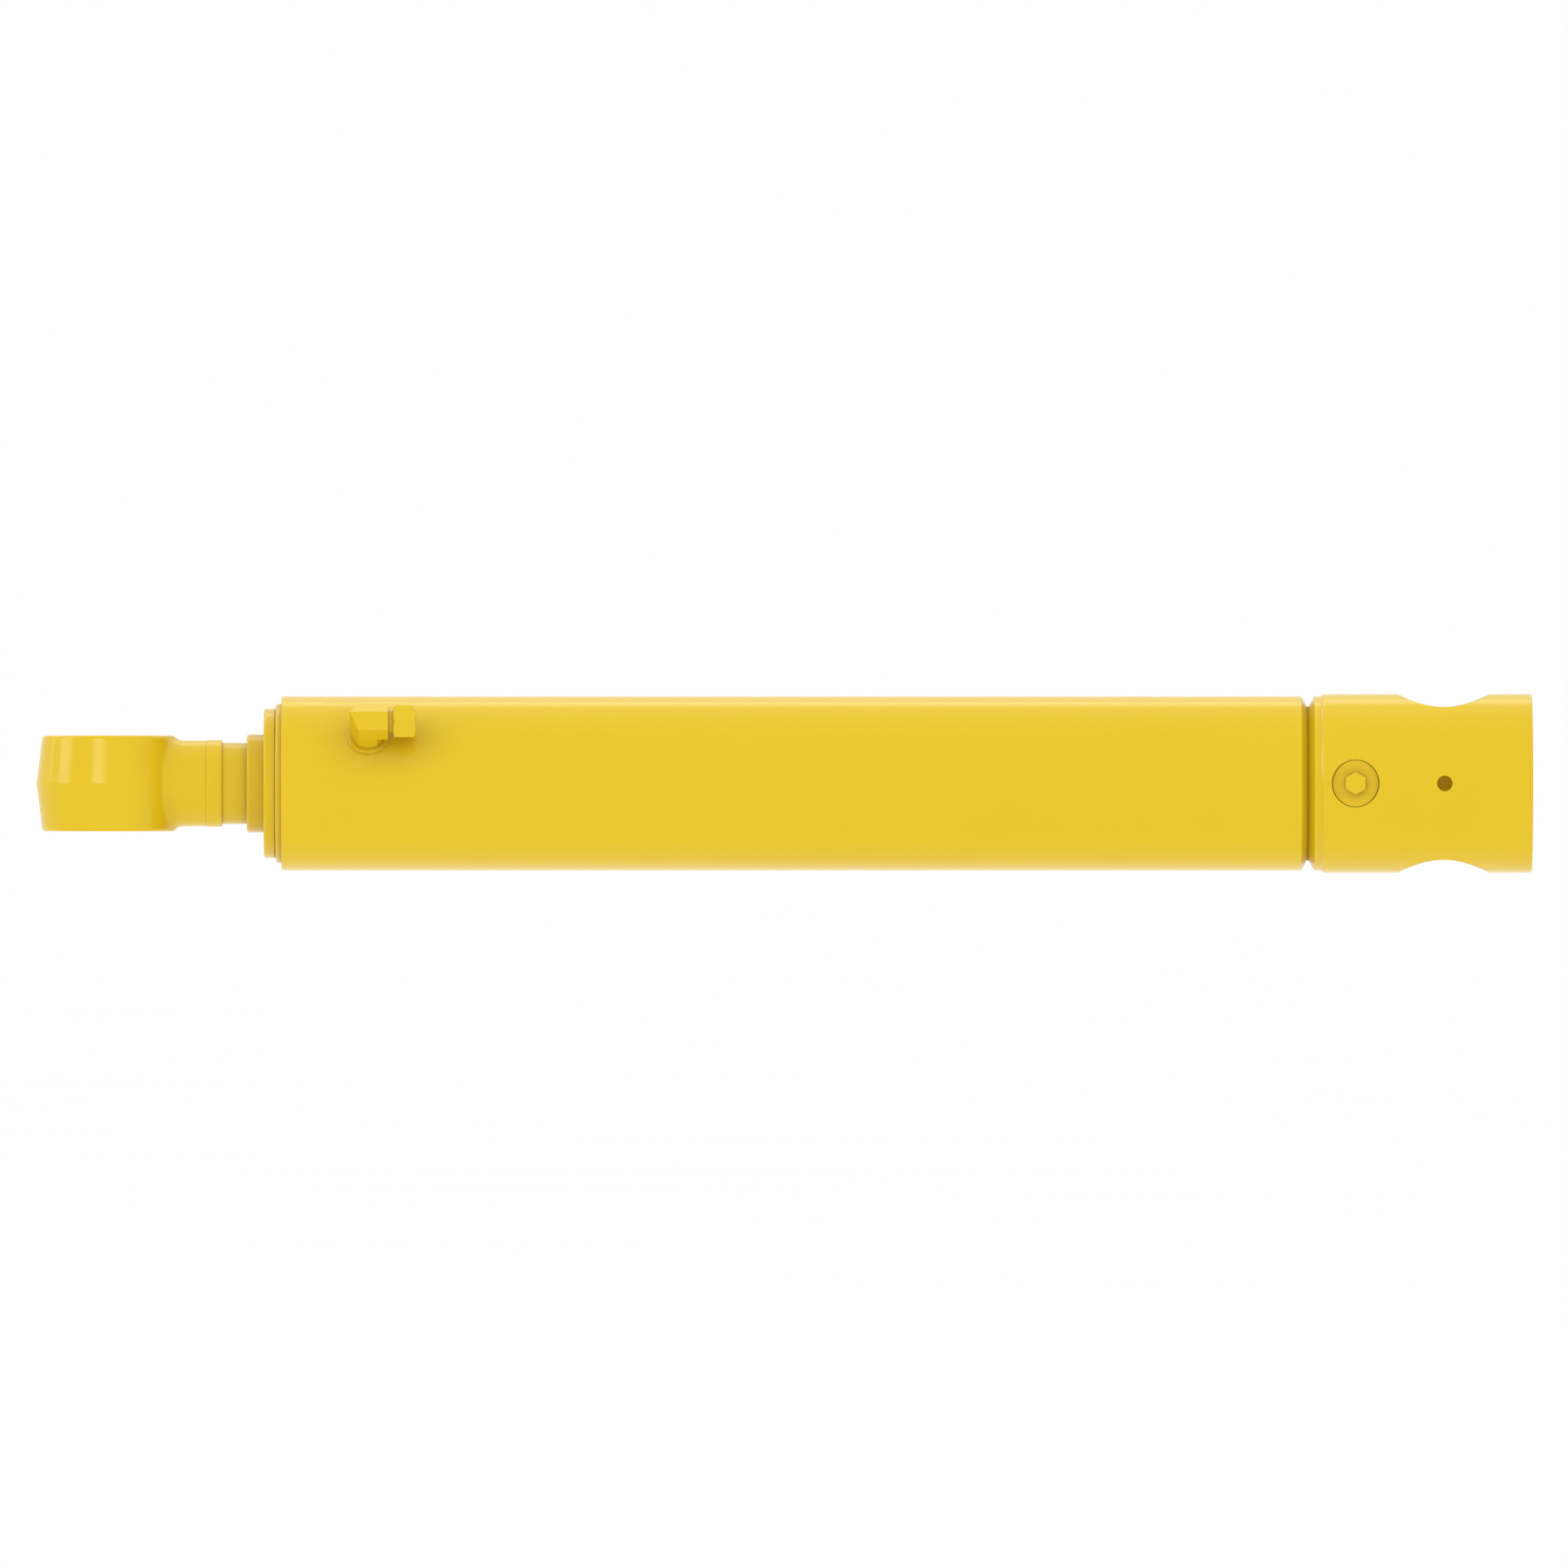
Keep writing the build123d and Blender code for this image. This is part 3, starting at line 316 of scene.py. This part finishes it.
def dress_plain_paint():
    dress(["base_port_plug", "port_boss"], painted("yellow_paint"))
    dress(["port_boss_weld"], painted("yellow_paint_on_weld", 0.05 * MM))
    # the root weld's third number is its least dirt and painted shade
    dress(["base_root_weld"], painted("yellow_paint_on_root_weld", 0.15 * MM, 0.7, DULL_SHEEN))
    dress(["eye_weld_band"], painted("yellow_paint_on_band", 0.02 * MM))
    dress(["rod_eye"], painted("yellow_paint_on_forging", 0.03 * MM))


def dress_base_end():
    def cover(g):
        return ragged(g, g.distance(port["pos_m"], port["axis"]), BARE_PORT_R)
    dress(["base_end"], covered("yellow_paint_base", turned_look, cover))


def dress_barrel():
    def tube_cover(g):
        return outside(g, BARE_BARREL_R, BORE_EDGE)

    def gland_cover(g):
        return outside(g, head_radius - FACE_PAINT)
    dress(["barrel_tube"], covered("yellow_paint_barrel", turned_look, tube_cover))
    dress(["barrel_gland"], covered("yellow_paint_barrel_gland", turned_look, gland_cover))


def dress_fitting():
    boss_axis = Vector((0, outlet["pos_m"][1], outlet["pos_m"][2])).normalized()
    boss_point = ((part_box("port_boss")[0][0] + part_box("port_boss")[1][0]) / 2, 0, 0)
    elbow_face_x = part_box("swivel_nut")[0][0] - FITTING_GAP

    def nut_cover(g):
        return ragged(g, g.distance(outlet["pos_m"], outlet["axis"]), BARE_NUT_R, FINE_EDGE)

    def elbow_cover(g):
        beside_tail = ragged(g, g.distance(outlet["pos_m"], outlet["axis"]), BARE_TAIL_R, FINE_EDGE)
        before_tail = g.step(g.along(), elbow_face_x + 1 * MM, elbow_face_x)
        return g.math("MAXIMUM", beside_tail, before_tail)

    def washer_cover(g):
        return ragged(g, g.distance(boss_point, boss_axis), BARE_WASHER_R, FINE_EDGE)
    dress(["swivel_nut"], covered("yellow_paint_nut", turned_look, nut_cover))
    dress(["port_elbow"], covered("yellow_paint_elbow", turned_look, elbow_cover))
    dress(["port_elbow_seal"], covered("yellow_paint_washer", turned_look, washer_cover))


def dress_first_stage():
    def head_cover(g):
        front = g.step(g.along(), head_back_x - 0.1 * MM, head_back_x - 0.2 * MM)
        return g.math("MAXIMUM", front, outside(g, head_radius - FACE_PAINT))

    def nose_cover(g):
        return outside(g, BARE_NOSE_R)
    dress(["stage1_head"], covered("yellow_paint_head", turned_look, head_cover))
    dress(["stage1_gland"], covered("yellow_paint_nose", turned_look, nose_cover))
    dress(["stage1_outer_tube"], bare("hard_chrome", chrome_look))


def dress_rod():
    """Chrome, with the paint that was sprayed on what stood out of the nose when closed."""
    def cover(g):
        return g.math("SUBTRACT", 1.0, ragged(g, g.along(), nose_x + CHROME_START))
    dress(["rod"], covered("yellow_paint_rod_end", chrome_look, cover))


def dress_steel(steel):
    dress(["stage1_inner_tube", "stage1_piston", "stage1_stop_sleeve", "rod_piston", "rod_piston_nut",
           "rod_stop_sleeve", "swivel_nut_wire", "rod_eye_bush"], steel)


def dress_seals():
    dress(["base_port_plug_seal", "barrel_gland_o_ring", "stage1_tube_o_ring", "stage1_piston_energiser",
           "stage1_piston_o_ring", "stage1_gland_o_ring", "rod_piston_energiser", "rod_piston_o_ring"],
          moulded("black_rubber", (0.022, 0.022, 0.023, 1), (0.060, 0.058, 0.055, 1), 0.45, 0.62))
    dress(["barrel_gland_wiper", "barrel_gland_seal", "stage1_gland_wiper", "stage1_gland_seal",
           "stage1_piston_seal", "rod_piston_seal"],
          moulded("green_polyurethane", (0.020, 0.075, 0.050, 1), (0.055, 0.120, 0.090, 1), 0.30, 0.45))
    dress(["barrel_gland_bands", "stage1_gland_bands", "stage1_piston_bands", "rod_piston_bands"],
          moulded("brown_guide_band", (0.110, 0.055, 0.025, 1), (0.170, 0.095, 0.050, 1), 0.5, 0.65))


steel = bare("turned_steel", turned_look)
dress_plain_paint()
dress_base_end()
dress_barrel()
dress_fitting()
dress_first_stage()
dress_rod()
dress_steel(steel)
dress_seals()


# ------------------------------------------------------------------ threads
STEPS_PER_TURN = 72
CREST_HALF = 0.08             # half widths of a ridge, in pitches
ROOT_HALF = 0.46
ROOT_SINK = 0.05 * MM         # how far a ridge's root goes into the wall


def thread(name, mount, pitch, depth, body):
    """A helical ridge on the wall of a threaded hole. It fades in and out over its first and last turn."""
    axis = Vector(mount["axis"])
    side = axis.orthogonal().normalized()
    up = axis.cross(side)
    centre = Vector(mount["pos_m"])
    radius = mount["dims"]["r_mm"] * MM
    length = mount["dims"]["length_mm"] * MM - pitch
    count = int(length / pitch * STEPS_PER_TURN)
    mesh = bmesh.new()
    rows = []
    for i in range(count + 1):
        turn = 2 * math.pi * i / STEPS_PER_TURN
        out = side * math.cos(turn) + up * math.sin(turn)
        start = centre + axis * (pitch * i / STEPS_PER_TURN - length / 2)
        fade = min(1.0, i / STEPS_PER_TURN, (count - i) / STEPS_PER_TURN)
        crest = radius - depth * fade
        root = radius + ROOT_SINK
        corners = ((root, -ROOT_HALF), (crest, -CREST_HALF), (crest, CREST_HALF), (root, ROOT_HALF))
        rows.append([mesh.verts.new(start + out * r + axis * (pitch * shift)) for r, shift in corners])
    for a, b in zip(rows, rows[1:]):
        for j in range(4):
            k = (j + 1) % 4
            mesh.faces.new((a[j], a[k], b[k], b[j]))
    mesh.faces.new(rows[0])
    mesh.faces.new(reversed(rows[-1]))
    bmesh.ops.recalc_face_normals(mesh, faces=mesh.faces)
    data = bpy.data.meshes.new(name)
    mesh.to_mesh(data)
    mesh.free()
    data.materials.append(steel)
    piece = bpy.data.objects.new(name, data)
    bpy.context.scene.collection.objects.link(piece)
    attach(piece, body)


thread("extend_port_thread", port, 2.309 * MM, 0.9 * MM, "barrel")
thread("retract_port_thread", outlet, 1.814 * MM, 0.7 * MM, "swivel_nut")


# ------------------------------------------------------------------ floor, light and camera
FLOOR_Z = -0.55
FLOOR_HALF = 400              # half its width, so large that its edge isn't seen
FLOOR_GLOW = 0.30
LENS, SENSOR = 1000, 36       # a long lens from far off, for a view with almost no perspective
VIEW_WIDTH = 1.3491           # what the view takes in at VIEW_Y
VIEW_Y = -0.02
VIEW_X, VIEW_Z = -0.5677, -0.0005


def floor():
    data = bpy.data.meshes.new("floor")
    grid = bmesh.new()
    bmesh.ops.create_grid(grid, x_segments=8, y_segments=8, size=FLOOR_HALF)
    grid.to_mesh(data)
    grid.free()
    piece = bpy.data.objects.new("floor", data)
    piece.location = (0, 0, FLOOR_Z)
    bpy.context.scene.collection.objects.link(piece)
    g = Graph("pale_floor", {"Roughness": 0.9, "Specular IOR Level": 0.0,
                             "Emission Strength": FLOOR_GLOW, "Emission Color": (1, 1, 1, 1)})
    tint = g.mix(g.noise(scale=0.8, detail=3), (0.69, 0.69, 0.69, 1), (0.71, 0.71, 0.71, 1))
    g.feed(g.shader.inputs["Base Color"], tint)
    data.materials.append(g.material)


def panel(name, target, azimuth, elevation, distance, width, height, radiance, diffuse=True, glossy=True):
    """A soft panel that faces target. Azimuth 0 is on the camera's side, and 90 on the -X side.

    A panel with diffuse off only makes a highlight, and one with glossy off makes none.
    """
    a, e = math.radians(azimuth), math.radians(elevation)
    back = Vector((-math.sin(a) * math.cos(e), -math.cos(a) * math.cos(e), math.sin(e)))
    data = bpy.data.lights.new(name, "AREA")
    data.shape = "RECTANGLE"
    data.size, data.size_y = width, height
    data.energy = radiance * math.pi * width * height
    lamp = bpy.data.objects.new(name, data)
    lamp.location = target + back * distance
    lamp.rotation_mode = "QUATERNION"
    lamp.rotation_quaternion = back.to_track_quat("Z", "Y")
    lamp.visible_camera = False
    lamp.visible_diffuse = diffuse
    lamp.visible_glossy = glossy
    bpy.context.scene.collection.objects.link(lamp)


def world(strength):
    sky = bpy.data.worlds.new("white_studio")
    sky.use_nodes = True
    background = sky.node_tree.nodes["Background"]
    background.inputs["Color"].default_value = (1, 1, 1, 1)
    background.inputs["Strength"].default_value = strength
    bpy.context.scene.world = sky


def studio():
    pins = Vector((-0.575, 0, 0))
    eye = Vector(mounts["rod_eye_bore"]["pos_m"])
    # the whole cylinder: the streak along its top, a fill from above and a key from the camera's side
    panel("back_strip", pins, azimuth=180, elevation=50, distance=3.0, width=6.0, height=0.70, radiance=1.33)
    panel("top_panel", pins, azimuth=0, elevation=90, distance=3.0, width=6.0, height=3.0, radiance=0.18)
    panel("key_panel", pins, azimuth=10, elevation=30, distance=4.0, width=3.0, height=3.0, radiance=0.60,
          glossy=False)
    # the upright highlights on the eye
    panel("left_strip", eye, azimuth=76.5, elevation=27, distance=4.0, width=1.6, height=3.0, radiance=3.6,
          diffuse=False)
    panel("front_strip", eye, azimuth=14, elevation=13, distance=1.2, width=0.37, height=0.24, radiance=4.4,
          diffuse=False)
    panel("far_left_strip", eye, azimuth=109, elevation=27, distance=4.0, width=0.5, height=3.0, radiance=1.8,
          diffuse=False)


def camera():
    data = bpy.data.cameras.new("camera")
    data.lens, data.sensor_width = LENS, SENSOR
    data.clip_start, data.clip_end = 1, 2000
    holder = bpy.data.objects.new("camera", data)
    holder.location = (VIEW_X, VIEW_Y - VIEW_WIDTH * LENS / SENSOR, VIEW_Z)
    holder.rotation_euler = (math.pi / 2, 0, 0)
    bpy.context.scene.collection.objects.link(holder)
    bpy.context.scene.camera = holder


floor()
world(1.0)
studio()
camera()
bpy.context.scene.view_settings.view_transform = "Standard"
